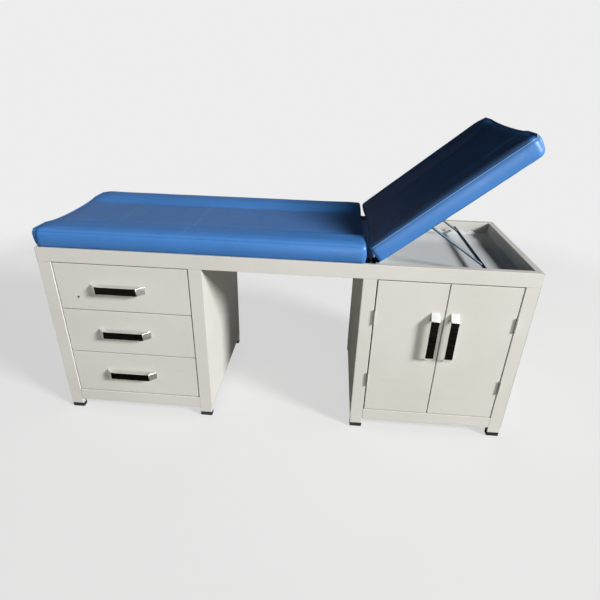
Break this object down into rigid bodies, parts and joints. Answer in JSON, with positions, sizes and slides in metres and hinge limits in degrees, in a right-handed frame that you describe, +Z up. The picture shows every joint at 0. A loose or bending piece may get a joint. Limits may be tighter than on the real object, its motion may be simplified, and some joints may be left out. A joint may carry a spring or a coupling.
{
  "type": "examination table",
  "caption": "Steel examination table with a drawer pedestal, a cupboard pedestal, blue padded mattress sections and a backrest propped on toothed racks.",
  "frame": {"origin": "on the floor, under the middle of the whole outline, with the handles counted", "axes": "+X towards the head end, -Y towards the drawers and doors, +Z up"},
  "size_m": [1.83, 0.635, 1.1867],
  "materials": {
    "ivory_paint": "satin",
    "white_paint": "satin",
    "blue_vinyl": "satin",
    "plywood": "matte",
    "black_rubber": "matte",
    "bright_chrome": "polished",
    "zinc_steel": "satin",
    "black_steel": "satin",
    "dark_blue_steel": "gloss",
    "dark_plastic": "matte"
  },
  "bodies": {
    "cabinet": {"back_posts": "ivory_paint", "back_top_rail": "ivory_paint", "backrest_fixed_leaves": "black_steel", "backrest_hinge_pins": "zinc_steel", "bottom_rails": "ivory_paint", "cupboard_back_panel": "ivory_paint", "cupboard_base_sheet": "ivory_paint", "cupboard_inner_side": "ivory_paint", "cupboard_outer_side": "ivory_paint", "cupboard_shelf": "ivory_paint", "deck_sheet": "white_paint", "door_catches": "dark_plastic", "door_fixed_leaves": "zinc_steel", "door_hinge_pins": "zinc_steel", "drawer_back_panel": "ivory_paint", "drawer_base_sheet": "ivory_paint", "drawer_fixed_runners": "zinc_steel", "drawer_inner_side": "ivory_paint", "drawer_outer_side": "ivory_paint", "fixed_leaf_screws": "zinc_steel", "foot_mattress": "blue_vinyl", "foot_mattress_board": "plywood", "foot_top_rail": "ivory_paint", "front_posts": "ivory_paint", "front_top_rail": "ivory_paint", "head_top_rail": "ivory_paint", "hinge_cross_rail": "white_paint", "middle_cross_rail": "white_paint", "prop_racks": "white_paint", "rubber_shoes": "black_rubber", "shelf_supports": "ivory_paint", "tray_floor": "white_paint"},
    "backrest": {"backrest_board": "plywood", "backrest_cushion": "blue_vinyl", "backrest_moving_leaves": "black_steel", "prop_brackets": "dark_blue_steel", "prop_pivot_pins": "zinc_steel"},
    "prop": {"prop_cross_bar": "dark_blue_steel", "prop_legs": "dark_blue_steel"},
    "top_drawer": {"top_drawer_box": "ivory_paint", "top_drawer_front": "ivory_paint", "top_drawer_handle": "bright_chrome", "top_drawer_slides": "zinc_steel"},
    "middle_drawer": {"middle_drawer_box": "ivory_paint", "middle_drawer_front": "ivory_paint", "middle_drawer_handle": "bright_chrome", "middle_drawer_slides": "zinc_steel"},
    "bottom_drawer": {"bottom_drawer_box": "ivory_paint", "bottom_drawer_front": "ivory_paint", "bottom_drawer_handle": "bright_chrome", "bottom_drawer_slides": "zinc_steel"},
    "left_door": {"left_door_handle": "bright_chrome", "left_door_leaves": "zinc_steel", "left_door_panel": "ivory_paint"},
    "right_door": {"right_door_handle": "bright_chrome", "right_door_leaves": "zinc_steel", "right_door_panel": "ivory_paint"}
  },
  "joints": [
    {"name": "backrest_tilt", "type": "hinge", "parent": "cabinet", "child": "backrest", "pos_m": [0.338, 0.0125, 0.744], "axis": [0, -1, 0], "range_deg": [-39.5, 10]},
    {"name": "prop_swing", "type": "hinge", "parent": "backrest", "child": "prop", "pos_m": [0.51144, 0.0125, 0.86689], "axis": [0, -1, 0], "range_deg": [-18.5, 71]},
    {"name": "top_drawer_slide", "type": "slide", "parent": "cabinet", "child": "top_drawer", "axis": [0, -1, 0], "range_m": [0, 0.4]},
    {"name": "middle_drawer_slide", "type": "slide", "parent": "cabinet", "child": "middle_drawer", "axis": [0, -1, 0], "range_m": [0, 0.4]},
    {"name": "bottom_drawer_slide", "type": "slide", "parent": "cabinet", "child": "bottom_drawer", "axis": [0, -1, 0], "range_m": [0, 0.4]},
    {"name": "left_door_swing", "type": "hinge", "parent": "cabinet", "child": "left_door", "pos_m": [0.34725, -0.2962, 0.39], "axis": [0, 0, -1], "range_deg": [0, 110]},
    {"name": "right_door_swing", "type": "hinge", "parent": "cabinet", "child": "right_door", "pos_m": [0.86275, -0.2962, 0.39], "axis": [0, 0, 1], "range_deg": [0, 110]}
  ],
  "couplings": [
    {"joint": "prop_swing", "follows": "backrest_tilt", "ratio": -1.785}
  ]
}
